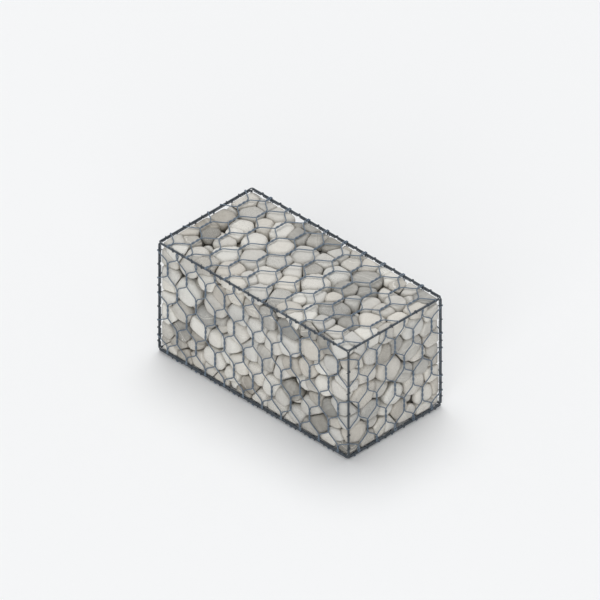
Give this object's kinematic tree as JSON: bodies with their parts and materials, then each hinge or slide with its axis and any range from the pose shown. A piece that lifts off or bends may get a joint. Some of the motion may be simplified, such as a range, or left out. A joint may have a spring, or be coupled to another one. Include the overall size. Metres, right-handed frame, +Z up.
{
  "type": "gabion wall unit",
  "caption": "Gabion wall unit: a laced box of double-twisted hexagonal wire mesh, two to one in length and height, filled with rounded pale grey stones.",
  "frame": {"origin": "middle of the footprint, on the ground under the base mesh", "axes": "+X along the length of the box, +Y from front to back, +Z up"},
  "size_m": [1, 0.5, 0.5],
  "materials": {
    "mesh_wire": "slate grey plastic-coated steel wire, satin, lightly weathered",
    "edge_wire": "dark grey plastic-coated steel wire, satin",
    "stone": "rounded pale grey river stone, matt, speckled"
  },
  "bodies": {
    "root": {"front_mesh": "mesh_wire", "back_mesh": "mesh_wire", "left_end_mesh": "mesh_wire", "right_end_mesh": "mesh_wire", "lid_mesh": "mesh_wire", "base_mesh": "mesh_wire", "front_top_selvedge": "edge_wire", "front_bottom_selvedge": "edge_wire", "back_top_selvedge": "edge_wire", "back_bottom_selvedge": "edge_wire", "left_top_selvedge": "edge_wire", "left_bottom_selvedge": "edge_wire", "right_top_selvedge": "edge_wire", "right_bottom_selvedge": "edge_wire", "front_left_selvedge": "edge_wire", "front_right_selvedge": "edge_wire", "back_left_selvedge": "edge_wire", "back_right_selvedge": "edge_wire", "front_top_lacing": "edge_wire", "front_bottom_lacing": "edge_wire", "back_top_lacing": "edge_wire", "back_bottom_lacing": "edge_wire", "left_top_lacing": "edge_wire", "left_bottom_lacing": "edge_wire", "right_top_lacing": "edge_wire", "right_bottom_lacing": "edge_wire", "front_left_lacing": "edge_wire", "front_right_lacing": "edge_wire", "back_left_lacing": "edge_wire", "back_right_lacing": "edge_wire", "lower_stone_fill": "stone", "middle_stone_fill": "stone", "upper_stone_fill": "stone"}
  },
  "joints": []
}
